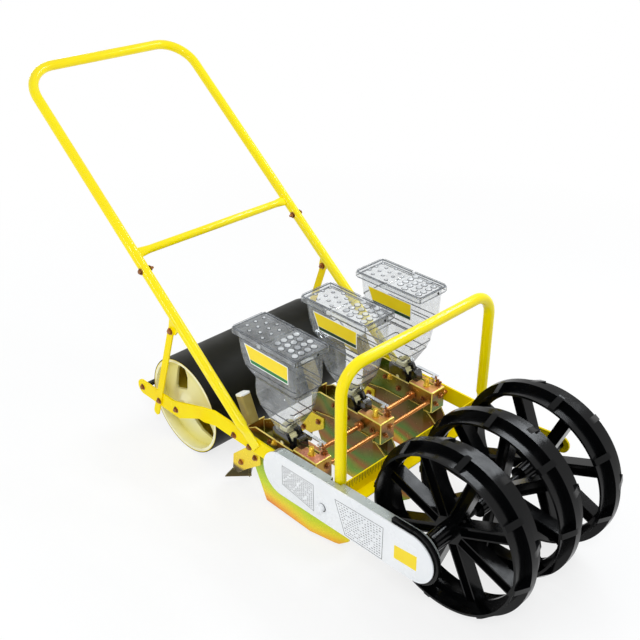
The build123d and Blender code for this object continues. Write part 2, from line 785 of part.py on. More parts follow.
def depth_lever():
    """Leaning grip block on a flat bracket behind the unit."""
    foot, top, deep = (545.0, 195.0), (575.0, 262.0), 26.0
    lean = atan2(top[1] - foot[1], top[0] - foot[0])
    dy, dz = deep / 2 * sin(lean), -deep / 2 * cos(lean)
    outline = ((foot[0] - dy, foot[1] - dz), (foot[0] + dy, foot[1] + dz),
               (top[0] + dy, top[1] + dz), (top[0] - dy, top[1] - dz))
    behind = 545 + sheet_t / 2
    with BuildPart() as made:
        add(yz_sheet(outline, -25, 26))
        fillet(made.edges(), 3)
        with Locations((-12, back(behind + bracket_t / 2), 175)):
            Box(16, bracket_t, 46)
    return made.part


unit_pieces = {
    "unit_frame": unit_frame(), "opener": opener(), "hopper": hopper(), "lid": lid_half(False),
    "lid_flap": lid_half(True), "seed_roller": roller(), "roller_housing": housing(), "coverer": coverer(),
    "depth_lever": depth_lever(),
}
for number, place in enumerate(unit_places, 1):
    for name, piece in unit_pieces.items():
        save(across(piece, mid_x + place), f"{name}_{number}")
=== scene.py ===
"""Looks for the three-row push seeder: finishes for every CAD piece, and the fasteners, labels,
lid bumps and other small parts that the construction leaves to the render. Metres, in the row
frame: front is -Y, up is +Z, and the chain case is on the -X side."""
import math

import bmesh
import bpy
from mathutils import Matrix, Vector


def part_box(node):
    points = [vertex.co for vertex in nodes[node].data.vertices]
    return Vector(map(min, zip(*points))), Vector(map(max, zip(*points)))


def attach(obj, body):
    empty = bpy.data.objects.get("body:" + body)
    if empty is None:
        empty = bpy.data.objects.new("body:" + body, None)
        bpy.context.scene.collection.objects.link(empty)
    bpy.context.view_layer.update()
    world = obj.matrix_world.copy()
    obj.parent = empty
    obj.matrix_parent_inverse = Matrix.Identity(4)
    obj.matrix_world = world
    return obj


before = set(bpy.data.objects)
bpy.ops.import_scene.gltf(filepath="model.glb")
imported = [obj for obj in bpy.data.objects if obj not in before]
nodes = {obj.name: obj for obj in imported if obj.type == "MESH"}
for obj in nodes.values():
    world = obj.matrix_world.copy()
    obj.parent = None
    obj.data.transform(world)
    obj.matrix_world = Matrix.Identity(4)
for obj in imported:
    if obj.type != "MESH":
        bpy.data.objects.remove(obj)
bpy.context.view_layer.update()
scene = bpy.context.scene

# Places, worked out from the frame
MM = 0.001
drive_plate, free_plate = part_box("side_plate_drive"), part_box("side_plate_free")
axle_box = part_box("front_axle")
MID_X = (drive_plate[0].x + free_plate[1].x) / 2
AXLE_Y = (axle_box[0].y + axle_box[1].y) / 2
UNIT_X = [sum(c.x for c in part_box(f"hopper_{k}")) / 2 / MM - MID_X / MM for k in (1, 2, 3)]
DRUM_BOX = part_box("drum_shell")
DRUM_Y = ((DRUM_BOX[0].y + DRUM_BOX[1].y) / 2 - AXLE_Y) / MM
DRUM_R = (DRUM_BOX[1].z - DRUM_BOX[0].z) / 2 / MM
X, Y, Z = Vector((1, 0, 0)), Vector((0, 1, 0)), Vector((0, 0, 1))


def at(x, y, z):
    """Row-frame point of a place given in mm: across from the middle, behind the axle, above the floor."""
    return Vector((MID_X + x * MM, AXLE_Y + y * MM, z * MM))


# Camera, at the photograph's place
CAMERA_AT = (-1.2741, -1.3889, 1.4385)
CAMERA_RIGHT = (0.71892, -0.69507, -0.00581)
CAMERA_FORWARD = (0.60325, 0.62806, -0.49156)
LENS_MM = 51.16


def make_camera():
    data = bpy.data.cameras.new("camera")
    data.lens = LENS_MM
    data.sensor_width = 36
    data.clip_start, data.clip_end = 0.05, 200
    camera = bpy.data.objects.new("camera", data)
    forward = Vector(CAMERA_FORWARD).normalized()
    right = Vector(CAMERA_RIGHT).normalized()
    up = right.cross(forward)
    turn = Matrix((right, up, -forward)).transposed().to_4x4()
    camera.matrix_world = Matrix.Translation(CAMERA_AT) @ turn
    scene.collection.objects.link(camera)
    scene.camera = camera


make_camera()


# Node helpers
def new_material(name):
    material = bpy.data.materials.new(name)
    material.use_nodes = True
    tree = material.node_tree
    return material, tree, tree.nodes["Principled BSDF"]


def rgb(r, g, b):
    """Screen colour, 0 to 255, as the linear colour that the shader takes."""
    return (*[(c / 255 / 12.92) if c / 255 <= 0.04045 else ((c / 255 + 0.055) / 1.055) ** 2.4
              for c in (r, g, b)], 1)


def put(tree, socket, value):
    """Sets a socket to a constant, or links an output to it."""
    if isinstance(value, (tuple, float, int)):
        socket.default_value = value
    else:
        tree.links.new(value, socket)


def noise(tree, scale, detail=3.0, distortion=0.0, stretch=None):
    """Noise over the object's own coordinates, with optional stretch along its axes."""
    node = tree.nodes.new("ShaderNodeTexNoise")
    node.inputs["Scale"].default_value = scale
    node.inputs["Detail"].default_value = detail
    node.inputs["Distortion"].default_value = distortion
    source = tree.nodes.new("ShaderNodeTexCoord").outputs["Object"]
    if stretch:
        mapping = tree.nodes.new("ShaderNodeMapping")
        mapping.inputs["Scale"].default_value = stretch
        tree.links.new(source, mapping.inputs["Vector"])
        source = mapping.outputs["Vector"]
    tree.links.new(source, node.inputs["Vector"])
    return node.outputs["Fac"]


def ramp(tree, source, stops):
    node = tree.nodes.new("ShaderNodeValToRGB")
    elements = node.color_ramp.elements
    elements[0].position, elements[0].color = stops[0]
    elements[1].position, elements[1].color = stops[-1]
    for position, colour in stops[1:-1]:
        elements.new(position).color = colour
    tree.links.new(source, node.inputs["Fac"])
    return node.outputs["Color"]


def span(tree, source, low, high, start=0.3, end=0.7):
    """The source's values from start to end, spread from low to high."""
    node = tree.nodes.new("ShaderNodeMapRange")
    for key, value in (("From Min", start), ("From Max", end), ("To Min", low), ("To Max", high)):
        node.inputs[key].default_value = value
    tree.links.new(source, node.inputs["Value"])
    return node.outputs["Result"]


def sums(tree, kind, a, b):
    """Math node of one kind on two values or outputs."""
    node = tree.nodes.new("ShaderNodeMath")
    node.operation = kind
    put(tree, node.inputs[0], a)
    put(tree, node.inputs[1], b)
    return node.outputs[0]


def mix(tree, factor, a, b):
    node = tree.nodes.new("ShaderNodeMix")
    node.data_type = "RGBA"
    for socket, value in ((node.inputs["Factor"], factor), (node.inputs[6], a), (node.inputs[7], b)):
        put(tree, socket, value)
    return node.outputs[2]


def blend(tree, factor, first, second):
    """Mix of two shaders."""
    node = tree.nodes.new("ShaderNodeMixShader")
    put(tree, node.inputs["Fac"], factor)
    tree.links.new(first, node.inputs[1])
    tree.links.new(second, node.inputs[2])
    return node.outputs["Shader"]


def bump(tree, shader, height, strength, distance):
    node = tree.nodes.new("ShaderNodeBump")
    node.inputs["Strength"].default_value = strength
    node.inputs["Distance"].default_value = distance
    tree.links.new(height, node.inputs["Height"])
    tree.links.new(node.outputs["Normal"], shader.inputs["Normal"])


def shade(name, low, high, rough, metallic=0.0, scale=12.0, grain=400.0, depth=0.00004, specular=0.4,
          coat=0.0):
    """Finish whose colour and roughness drift a little, over a fine grain."""
    material, tree, shader = new_material(name)
    put(tree, shader.inputs["Base Color"], mix(tree, span(tree, noise(tree, scale), 0.0, 1.0), low, high))
    put(tree, shader.inputs["Roughness"], span(tree, noise(tree, scale * 2.7), rough[0], rough[1]))
    bump(tree, shader, noise(tree, grain, 2.0), 0.3, depth)
    shader.inputs["Metallic"].default_value = metallic
    shader.inputs["Specular IOR Level"].default_value = specular
    shader.inputs["Coat Weight"].default_value = coat
    shader.inputs["Coat Roughness"].default_value = 0.06
    return material


def axis_of(tree, output, axis):
    """One axis of a texture coordinate output: 0 for X, 1 for Y, 2 for Z."""
    split = tree.nodes.new("ShaderNodeSeparateXYZ")
    tree.links.new(tree.nodes.new("ShaderNodeTexCoord").outputs[output], split.inputs["Vector"])
    return split.outputs[axis]


def bend_share(tree):
    """1 on the round bends between faces that are square to the machine, 0 on those faces."""
    facing = tree.nodes.new("ShaderNodeVectorMath")
    facing.operation = "ABSOLUTE"
    tree.links.new(tree.nodes.new("ShaderNodeTexCoord").outputs["Normal"], facing.inputs[0])
    split = tree.nodes.new("ShaderNodeSeparateXYZ")
    tree.links.new(facing.outputs["Vector"], split.inputs["Vector"])
    sideways = sums(tree, "MAXIMUM", split.outputs[0], split.outputs[1])
    square = sums(tree, "MAXIMUM", sideways, split.outputs[2])
    return span(tree, square, 1.0, 0.0, 0.86, 0.97)


def rainbow_zinc(name, stops, low_z, high_z, top, wander=0.2, bends=0.0):
    """Passivated zinc: soft bands of colour that follow the height, copper pink where it faces up, and a
    painted highlight in pale yellow on its round bends.
    """
    material, tree, shader = new_material(name)
    height = span(tree, axis_of(tree, "Object", 2), 0.0, 1.0, low_z, high_z)
    drift = span(tree, noise(tree, 6.0, 1.0, 0.3), -wander, wander, 0.3, 0.7)
    bands = ramp(tree, sums(tree, "ADD", height, drift), stops)
    patch = mix(tree, span(tree, noise(tree, 17.0, 1.0), 0.0, 1.0, 0.38, 0.62), top[0], top[1])
    upward = span(tree, axis_of(tree, "Normal", 2), 0.0, 1.0, 0.7, 0.9)
    # Painted highlight: pale yellow on the round bends.
    bright = sums(tree, "MULTIPLY", bend_share(tree), bends)
    body = mix(tree, upward, bands, patch)
    put(tree, shader.inputs["Base Color"], mix(tree, bright, body, rgb(255, 238, 110)))
    put(tree, shader.inputs["Roughness"], span(tree, noise(tree, 60.0, 3.0), 0.16, 0.30))
    bump(tree, shader, noise(tree, 500.0, 2.0, 0.0, (1, 6, 1)), 0.15, 0.00002)
    shader.inputs["Metallic"].default_value = 0.45
    return material


def cream_cap_recess_shade(name, rim_at, deep_at):
    """Cream moulding that turns a deeper yellow from its rim, across its own box, to the bottom of the
    dish: painted shade and painted reflected yellow light in the recess.
    """
    material, tree, shader = new_material(name)
    across = axis_of(tree, "Generated", 0)
    depth = sums(tree, "DIVIDE", sums(tree, "SUBTRACT", across, rim_at), deep_at - rim_at)
    deep = span(tree, depth, 0.0, 1.0, 0.0, 1.0)
    tone = mix(tree, span(tree, noise(tree, 11.0), 0.0, 1.0), rgb(250, 248, 214), rgb(242, 238, 198))
    # The deeper yellow towards the bottom of the dish is painted shade and painted reflected light.
    put(tree, shader.inputs["Base Color"], mix(tree, deep, tone, rgb(238, 230, 148)))
    put(tree, shader.inputs["Roughness"], span(tree, noise(tree, 30.0), 0.32, 0.44))
    bump(tree, shader, noise(tree, 300.0, 2.0), 0.3, 0.00004)
    shader.inputs["Specular IOR Level"].default_value = 0.3
    return material


def black_drum(name):
    """Black roller. Its inside is painted bright yellow, as painted light for the light that does not reach
    in there, so that it reads as warm olive in the shade behind the caps' windows.
    """
    material, tree, shader = new_material(name)
    away = []
    for axis, centre in ((1, AXLE_Y + DRUM_Y * MM), (2, DRUM_R * MM)):
        off = sums(tree, "SUBTRACT", axis_of(tree, "Object", axis), centre)
        away.append(sums(tree, "MULTIPLY", off, off))
    radius = sums(tree, "SQRT", sums(tree, "ADD", *away), 0.0)
    # Bright yellow inside the drum: painted light, brightened because the inside is unlit.
    painted_lit_bore = span(tree, radius, 1.0, 0.0, (DRUM_R - 3) * MM, (DRUM_R - 2) * MM)
    outside = mix(tree, span(tree, noise(tree, 9.0), 0.0, 1.0), rgb(13, 13, 8), rgb(22, 22, 13))
    put(tree, shader.inputs["Base Color"], mix(tree, painted_lit_bore, outside, rgb(250, 226, 64)))
    put(tree, shader.inputs["Roughness"], span(tree, noise(tree, 24.0), 0.45, 0.58))
    bump(tree, shader, noise(tree, 400.0, 2.0), 0.3, 0.00004)
    shader.inputs["Specular IOR Level"].default_value = 0.12
    return material


def clear_moulding(name, tint, pale, dark, veil):
    """Clear moulding: a thin cloudy veil face on, part haze and part painted reflection; painted shade as a
    dark line where it turns away and as dark patches; and a sharp reflection.

    Rays that carry light or shadow pass through it, and its inner sides show no veil or reflection."""
    material, tree, shader = new_material(name)
    rim = tree.nodes.new("ShaderNodeLayerWeight")
    rim.inputs["Blend"].default_value = 0.35
    # Painted shade: a dark line where the wall turns away, and dark patches from the noise.
    stops = ((0.0, pale), (0.52, pale), (0.66, dark), (0.78, pale), (1.0, pale))
    painted_turn_shade = ramp(tree, rim.outputs["Facing"], stops)
    painted_dark_patches = span(tree, noise(tree, 26.0, 2.0, 1.2), 0.0, 0.6, 0.45, 0.62)
    put(tree, shader.inputs["Base Color"], mix(tree, painted_dark_patches, painted_turn_shade, dark))
    put(tree, shader.inputs["Roughness"], span(tree, noise(tree, 30.0), 0.04, 0.10))
    bump(tree, shader, noise(tree, 60.0, 1.0), 0.25, 0.0003)
    through = tree.nodes.new("ShaderNodeBsdfTransparent")
    through.inputs["Color"].default_value = tint
    mirror = tree.nodes.new("ShaderNodeBsdfGlossy")
    mirror.inputs["Roughness"].default_value = 0.04
    mirror.inputs["Color"].default_value = (0.95, 0.95, 0.95, 1)
    tree.links.new(tree.nodes["Bump"].outputs["Normal"], mirror.inputs["Normal"])
    fresnel = tree.nodes.new("ShaderNodeFresnel")
    fresnel.inputs["IOR"].default_value = 1.45
    outer = sums(tree, "SUBTRACT", 1.0, tree.nodes.new("ShaderNodeNewGeometry").outputs["Backfacing"])
    mirrored = sums(tree, "MULTIPLY", fresnel.outputs["Fac"], outer)
    grey = sums(tree, "MULTIPLY", span(tree, rim.outputs["Facing"], veil, 0.92, 0.45, 0.75), outer)
    glass = blend(tree, mirrored, through.outputs["BSDF"], mirror.outputs["BSDF"])
    greyed = blend(tree, grey, glass, shader.outputs["BSDF"])
    rays = tree.nodes.new("ShaderNodeLightPath").outputs
    unseen = sums(tree, "MAXIMUM", rays["Is Shadow Ray"], rays["Is Diffuse Ray"])
    shadow = tree.nodes.new("ShaderNodeBsdfTransparent")
    shadow.inputs["Color"].default_value = (0.93, 0.94, 0.95, 1)
    out = blend(tree, unseen, greyed, shadow.outputs["BSDF"])
    tree.links.new(out, tree.nodes["Material Output"].inputs["Surface"])
    return material


# Finishes. The bands run up a sheet: share of its height, colour
# The units' sides: the zinc's rainbow tint, darkened as a painted reflection of dark surroundings.
SIDE_TINT_AND_REFLECTION = (
    (0.00, rgb(96, 66, 20)), (0.22, rgb(126, 110, 26)), (0.40, rgb(86, 118, 38)),
    (0.55, rgb(124, 116, 28)), (0.72, rgb(98, 72, 22)), (0.86, rgb(168, 108, 40)),
    (1.00, rgb(196, 150, 56)),
)
OPENER_BANDS = (
    (0.00, rgb(230, 136, 56)), (0.07, rgb(248, 180, 36)), (0.16, rgb(240, 218, 28)),
    (0.30, rgb(206, 224, 24)), (0.52, rgb(168, 200, 32)), (0.76, rgb(128, 144, 36)),
    (1.00, rgb(104, 88, 28)),
)
FAR_BANDS = (
    (0.00, rgb(222, 130, 48)), (0.12, rgb(226, 180, 40)), (0.26, rgb(116, 168, 44)),
    (0.42, rgb(164, 100, 36)), (0.58, rgb(88, 134, 44)), (0.78, rgb(130, 82, 30)),
    (1.00, rgb(96, 100, 28)),
)
COVERER_BANDS = (
    (0.00, rgb(96, 76, 30)), (0.20, rgb(66, 58, 20)), (0.36, rgb(84, 66, 18)),
    (0.44, rgb(240, 206, 24)), (1.00, rgb(252, 226, 20)),
)
TOP_COPPER = (rgb(226, 150, 120), rgb(228, 172, 84))
finish = {
    "yellow": shade("yellow_powder_coat", rgb(255, 232, 0), rgb(253, 222, 0), (0.20, 0.28), grain=260.0,
                    depth=0.0001, specular=0.06),
    "tube": shade("yellow_tube", rgb(255, 236, 0), rgb(254, 228, 0), (0.10, 0.16), grain=260.0,
                  depth=0.00002, specular=0.28),
    "black": shade("black_moulding", rgb(4, 5, 6), rgb(8, 8, 9), (0.14, 0.22), specular=0.16),
    "drum": black_drum("black_drum"),
    "cap_near": cream_cap_recess_shade("cream_cap_recess_shade_near", 0.09, 0.55),
    "cap_far": cream_cap_recess_shade("cream_cap_recess_shade_far", 0.91, 0.45),
    "cream": shade("cream_moulding", rgb(240, 234, 190), rgb(228, 220, 168), (0.32, 0.44), specular=0.3),
    "white": shade("white_cover", rgb(243, 244, 245), rgb(236, 238, 240), (0.20, 0.30), coat=0.2),
    "zinc": shade("grey_zinc", rgb(200, 208, 206), rgb(172, 180, 178), (0.22, 0.36), 0.7, scale=14.0),
    "aluminium": shade("bright_aluminium", rgb(226, 230, 232), rgb(206, 210, 214), (0.2, 0.3), 0.9, 20.0),
    "copper": shade("orange_rods", rgb(206, 140, 76), rgb(176, 110, 52), (0.18, 0.28), 0.6, scale=9.0),
    "bolt": shade("gold_brown_bolts", rgb(178, 118, 60), rgb(112, 66, 38), (0.20, 0.34), 0.7, scale=60.0),
    "gold": shade("gold_passivated", rgb(240, 206, 70), rgb(214, 164, 44), (0.18, 0.30), 0.7, scale=50.0),
    "dark": shade("dark_steel", rgb(30, 33, 28), rgb(20, 22, 20), (0.3, 0.42), 0.3, scale=40.0),
    "nylon": shade("smoked_moulding", rgb(26, 27, 30), rgb(12, 12, 14), (0.08, 0.16), scale=60.0,
                   specular=0.5, coat=0.6),
    "grip": shade("beige_block", rgb(168, 150, 84), rgb(146, 128, 62), (0.35, 0.5), scale=30.0),
    "grip_top": shade("pale_cap", rgb(250, 250, 246), rgb(242, 242, 236), (0.25, 0.35), scale=30.0),
    "side_zinc": rainbow_zinc("rainbow_zinc_units", SIDE_TINT_AND_REFLECTION, 0.11, 0.21, TOP_COPPER, 0.45, 0.9),
    "opener_zinc": rainbow_zinc("rainbow_zinc_openers", OPENER_BANDS, 0.0, 0.16, TOP_COPPER, 0.06),
    "far_zinc": rainbow_zinc("rainbow_zinc_far_openers", FAR_BANDS, 0.0, 0.16, TOP_COPPER, 0.24),
    "coverer_zinc": rainbow_zinc("rainbow_zinc_coverers", COVERER_BANDS, 0.0, 0.134, TOP_COPPER, 0.05),
    # Pale yellow on the sheets' bevels and edge strips: a painted highlight.
    "zinc_edge": shade("painted_highlight_sheet_edge", rgb(255, 242, 150), rgb(255, 232, 100), (0.2, 0.3), 0.1, 30.0),
    "clear": clear_moulding("clear_walls", (0.97, 0.973, 0.975, 1), rgb(232, 236, 238), rgb(34, 38, 44),
                            0.16),
    # Dark grey bevels on the clear mouldings: painted shade along their edges.
    "clear_edge": clear_moulding("clear_wall_edges_painted_shade", (0.5, 0.52, 0.54, 1), rgb(96, 102, 108),
                                 rgb(30, 33, 38), 0.75),
    # Pale domes and lid catches: the strong pale veil is a painted highlight.
    "lens": clear_moulding("pale_domes_painted_highlight", (0.97, 0.975, 0.98, 1), rgb(240, 242, 244), rgb(120, 126, 132),
                           0.62),
    # Grey strips on the lids' square edges: painted shade along the rims.
    "rim": clear_moulding("clear_rims_painted_shade", (0.6, 0.62, 0.64, 1), rgb(84, 90, 96), rgb(34, 37, 42), 0.7),
    # Dark strips, rings and crescents: painted shade.
    "painted_shade_line": shade("painted_shade_outline", rgb(58, 62, 68), rgb(38, 42, 48), (0.12, 0.22), scale=60.0),
    "label_yellow": shade("label_yellow", rgb(255, 226, 20), rgb(250, 218, 14), (0.3, 0.4), scale=20.0),
    "label_green": shade("label_green", rgb(20, 132, 60), rgb(16, 112, 50), (0.3, 0.4), scale=20.0),
    "label_dark": shade("label_dark_green", rgb(8, 62, 36), rgb(8, 52, 30), (0.3, 0.4), scale=20.0),
    "label_white": shade("label_white", rgb(250, 250, 248), rgb(244, 244, 242), (0.3, 0.4), scale=20.0),
    "print": shade("grey_print", rgb(58, 58, 62), rgb(40, 40, 44), (0.4, 0.5), scale=80.0),
    "ink": shade("black_print", rgb(26, 24, 16), rgb(40, 36, 22), (0.4, 0.5), scale=80.0),
}


def dress(name, look, bevel_mm=0.8, edge=None, turn=38):
    """Gives a CAD node its finish, with its edges softened by modifiers."""
    node = nodes[name]
    node.data.materials.clear()
    node.data.materials.append(finish[look])
    if edge:
        node.data.materials.append(finish[edge])
    for polygon in node.data.polygons:
        polygon.use_smooth = True
    if "custom_normal" in node.data.attributes:
        node.data.attributes.remove(node.data.attributes["custom_normal"])
    weld = node.modifiers.new("weld", "WELD")
    weld.merge_threshold = 0.00001
    if bevel_mm:
        bevel = node.modifiers.new("bevel", "BEVEL")
        bevel.width = bevel_mm * MM
        bevel.segments = 2
        bevel.limit_method = "ANGLE"
        bevel.angle_limit = math.radians(turn)
        bevel.harden_normals = False
        if edge:
            bevel.material = 1
    split = node.modifiers.new("hard_corners", "EDGE_SPLIT")
    split.split_angle = math.radians(50)
    node.modifiers.new("normals", "WEIGHTED_NORMAL").keep_sharp = True


# Each CAD node's finish, bevel in mm, finish of the bevels, and turn in degrees that is bevelled
LOOKS = {
    "front_axle": ("black", 0.6), "drum_shell": ("drum", 1.2), "drum_axle": ("zinc", 0.6),
    "drum_cap_drive": ("cap_near", 1.0), "drum_cap_free": ("cap_far", 1.0),
    "side_plate_drive": ("yellow", 0.8), "side_plate_free": ("yellow", 0.8), "handle": ("tube", 0.5),
    "handle_crossbar": ("tube", 0.5), "handle_strut_drive": ("yellow", 0.7),
    "handle_strut_free": ("yellow", 0.7), "front_hoop": ("tube", 0.5), "spacing_angle": ("yellow", 0.6),
    "drum_scraper": ("dark", 0.6), "unit_rod": ("copper", 0.4), "drive_shaft": ("copper", 0.5),
    "chain_case": ("zinc", 0.4), "case_guard": ("black", 0.8), "case_cover": ("white", 0.8),
    "cover_knob": ("white", 0.5), "axle_sprocket": ("dark", 0.3), "shaft_sprocket": ("dark", 0.3),
}
for k in (1, 2, 3):
    LOOKS.update({
        f"front_wheel_{k}": ("black", 1.2),
        f"unit_frame_{k}": ("side_zinc", 1.1, "zinc_edge"),
        f"opener_{k}": ("opener_zinc" if k == 1 else "far_zinc", 1.1, "zinc_edge"),
        f"hopper_{k}": ("clear", 0.9, "clear_edge", 14),
        f"lid_{k}": ("clear", 0.7, "clear_edge"),
        f"lid_flap_{k}": ("clear", 0.7, "clear_edge"),
        f"seed_roller_{k}": ("cream", 0.4),
        f"roller_housing_{k}": ("nylon", 0.6),
        f"coverer_{k}": ("coverer_zinc", 0.8, "zinc_edge"),
        f"depth_lever_{k}": ("grip", 0.6),
    })
for name, look in LOOKS.items():
    dress(name, *look)


# Small parts: mesh helpers, all sizes in mm
def turned(bm, profile, origin, axis, steps=24):
    """Surface of (radius, height) points turned about an axis through the origin."""
    place = Matrix.Translation(origin) @ Vector(axis).to_track_quat("Z", "Y").to_matrix().to_4x4()
    rings = []
    for radius, height in profile:
        count = steps if radius else 1
        rings.append([bm.verts.new(place @ Vector((
            radius * MM * math.cos(math.tau * k / count), radius * MM * math.sin(math.tau * k / count),
            height * MM))) for k in range(count)])
    for lower, upper in zip(rings, rings[1:]):
        for k in range(steps):
            corners = [lower[k % len(lower)], lower[(k + 1) % len(lower)], upper[(k + 1) % len(upper)],
                       upper[k % len(upper)]]
            corners = list(dict.fromkeys(corners))
            if len(corners) > 2:
                bm.faces.new(corners)


def slab(bm, outline, origin, right, up, thick):
    """Flat piece with this outline in its own plane, thick along right cross up."""
    right, up = Vector(right).normalized(), Vector(up).normalized()
    normal = right.cross(up)
    flat = [Vector(origin) + (right * a + up * b) * MM for a, b in outline]
    bottom = [bm.verts.new(p) for p in flat]
    top = [bm.verts.new(p + normal * thick * MM) for p in flat]
    bm.faces.new(bottom[::-1])
    bm.faces.new(top)
    for k in range(len(flat)):
        nxt = (k + 1) % len(flat)
        bm.faces.new((bottom[k], bottom[nxt], top[nxt], top[k]))


def rounded(width, height, r, steps=5):
    """Outline of a rectangle with round corners, about its middle."""
    points = []
    for cx, cy, start in ((1, 1, 0), (-1, 1, 90), (-1, -1, 180), (1, -1, 270)):
        for k in range(steps + 1):
            turn = math.radians(start + 90 * k / steps)
            points.append((cx * (width / 2 - r) + r * math.cos(turn),
                           cy * (height / 2 - r) + r * math.sin(turn)))
    return points


def bolt(bm, origin, axis, across=10.0, washer=8.5, head=5.0):
    """Hex head with a crowned top on a washer."""
    corner = across / math.sqrt(3)
    turned(bm, [(0, 0), (washer, 0), (washer, 0.9), (washer - 0.4, 1.3), (0, 1.3)], origin, axis, 24)
    crown = [(corner * 0.86, head + 1.1), (0, head + 1.5)]
    turned(bm, [(corner, 1.2), (corner, head), *crown], origin, axis, 6)


def nut(bm, origin, axis, across=10.0, washer=8.5, thread=3.0, reach=11.0):
    """Nut on a washer with the bolt's threaded end standing out."""
    corner = across / math.sqrt(3)
    turned(bm, [(0, 0), (washer, 0), (washer, 1.2), (0, 1.2)], origin, axis, 24)
    body = [(corner * 0.9, 1.2), (corner, 2.0), (corner, 5.6), (corner * 0.88, 6.6), (0, 6.6)]
    turned(bm, body, origin, axis, 6)
    rings = [(thread - 0.35 * (k % 2), 6.4 + 0.5 * k) for k in range(int((reach - 6.4) / 0.5))]
    turned(bm, [*rings, (thread - 0.8, reach), (0, reach)], origin, axis, 16)


def wing_bolt(bm, origin, axis, across):
    """Wing bolt: hub, thread end and two ears that lie in the plane of axis and across."""
    axis, across = Vector(axis).normalized(), Vector(across).normalized()
    turned(bm, [(0, 0), (8.5, 0), (8.5, 1.2), (0, 1.2)], origin, axis, 24)
    turned(bm, [(5.2, 1.2), (5.2, 5), (4.2, 9.5), (3.0, 11), (0, 11)], origin, axis, 20)
    turned(bm, [(2.9, 10), (2.9, 15), (2.2, 16), (0, 16)], origin, axis, 16)
    ear = ((3.2, 2.0), (8, 4.4), (12.4, 9.5), (15.4, 14.6), (15, 18), (12, 19), (9, 16.2), (6.4, 12),
           (3.4, 9.5))
    for side in (-1, 1):
        sideways = across * side
        slab(bm, ear, Vector(origin) - sideways.cross(axis) * 1.3 * MM, sideways, axis, 2.6)


def make_piece(name, build, look, body, bevel_mm=0.0, smooth=40.0):
    """New piece from a building function, finished and riding on a body."""
    bm = bmesh.new()
    build(bm)
    bmesh.ops.recalc_face_normals(bm, faces=bm.faces)
    mesh = bpy.data.meshes.new(name)
    bm.to_mesh(mesh)
    bm.free()
    for polygon in mesh.polygons:
        polygon.use_smooth = True
    mesh.set_sharp_from_angle(angle=math.radians(smooth))
    mesh.materials.append(finish[look])
    piece = bpy.data.objects.new(name, mesh)
    scene.collection.objects.link(piece)
    if bevel_mm:
        bevel = piece.modifiers.new("bevel", "BEVEL")
        bevel.width, bevel.segments = bevel_mm * MM, 2
        bevel.limit_method, bevel.angle_limit = "ANGLE", math.radians(smooth)
        piece.modifiers.new("normals", "WEIGHTED_NORMAL").keep_sharp = True
    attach(piece, body)
    return piece


def edge_lines(node_name, look, body, keep, radius):
    """Thin strips along the edges of a CAD piece that the keep function picks, as the eye sees its rims:
    painted shade or painted highlight, by the look.
    """
    source = bmesh.new()
    source.from_mesh(nodes[node_name].data)
    bmesh.ops.remove_doubles(source, verts=source.verts, dist=0.00001)

    def build(bm):
        for edge in source.edges:
            if len(edge.link_faces) != 2 or not keep(edge):
                continue
            a, b = (vert.co.copy() for vert in edge.verts)
            outward = (edge.link_faces[0].normal + edge.link_faces[1].normal).normalized()
            length = (b - a).length / MM
            profile = [(0, -0.2), (radius, -0.2), (radius, length + 0.2), (0, length + 0.2)]
            turned(bm, profile, a - outward * radius * 0.4 * MM, b - a, 6)

    piece = make_piece(f"{node_name}_rims", build, look, body)
    source.free()
    return piece


def sheet_rim(edge):
    """Long square edges of bent and cut sheet."""
    return edge.calc_length() > 14 * MM and edge.calc_face_angle(0) > math.radians(60)


LID_HINGE_Y = (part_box("lid_1")[0].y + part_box("lid_flap_1")[1].y) / 2


def lid_rim(edge):
    """Square edges of a lid, clear of its hinge."""
    middle = (edge.verts[0].co.y + edge.verts[1].co.y) / 2
    square = edge.calc_length() > 2 * MM and edge.calc_face_angle(0) > math.radians(50)
    return square and abs(middle - LID_HINGE_Y) > 5 * MM


def wall_rim(edge):
    """Rings where a hopper's wall steps, and the lines where its flat walls meet the round corners."""
    turn = math.degrees(edge.calc_face_angle(0))
    level = abs((edge.verts[0].co - edge.verts[1].co).z) < 0.1 * MM
    small, large = sorted(face.calc_area() for face in edge.link_faces)
    return turn > 3 if level else turn > 5 and large > 2 * small


# Places that the small parts share with the construction, in mm: across, behind the axle, up
PLATE_OUT = drive_plate[0].x / MM - MID_X / MM      # outer face beside the drum
PLATE_FRONT = PLATE_OUT + 10                        # outer face of the front run
COVER_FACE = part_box("case_cover")[0].x / MM - MID_X / MM
UNIT_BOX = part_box("unit_frame_1")
BOX_TOP = UNIT_BOX[1].z / MM
BOX_FRONT = (UNIT_BOX[0].y - AXLE_Y) / MM
UNIT_HALF = (UNIT_BOX[1].x - UNIT_BOX[0].x) / 2 / MM
OPENER_HALF = (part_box("opener_1")[1].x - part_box("opener_1")[0].x) / 2 / MM
HOPPER_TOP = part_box("hopper_1")[1].z / MM
LID_TOP = HOPPER_TOP + 2.5
STRIP_Z = 219                                       # underside of the strips beside the seed gates
LEG_FOOT, LEG_DIR = (510.0, 187.5), Vector((0, 0.7732, 0.6341))
LEG_OUTER, LEG_INNER = 255.3, 230.7                 # where the handle leg's bolt and nut sit


def on_leg(distance, x):
    """Point on a handle leg's middle line, this far up from its foot."""
    return at(x, LEG_FOOT[0], LEG_FOOT[1]) + LEG_DIR * distance * MM


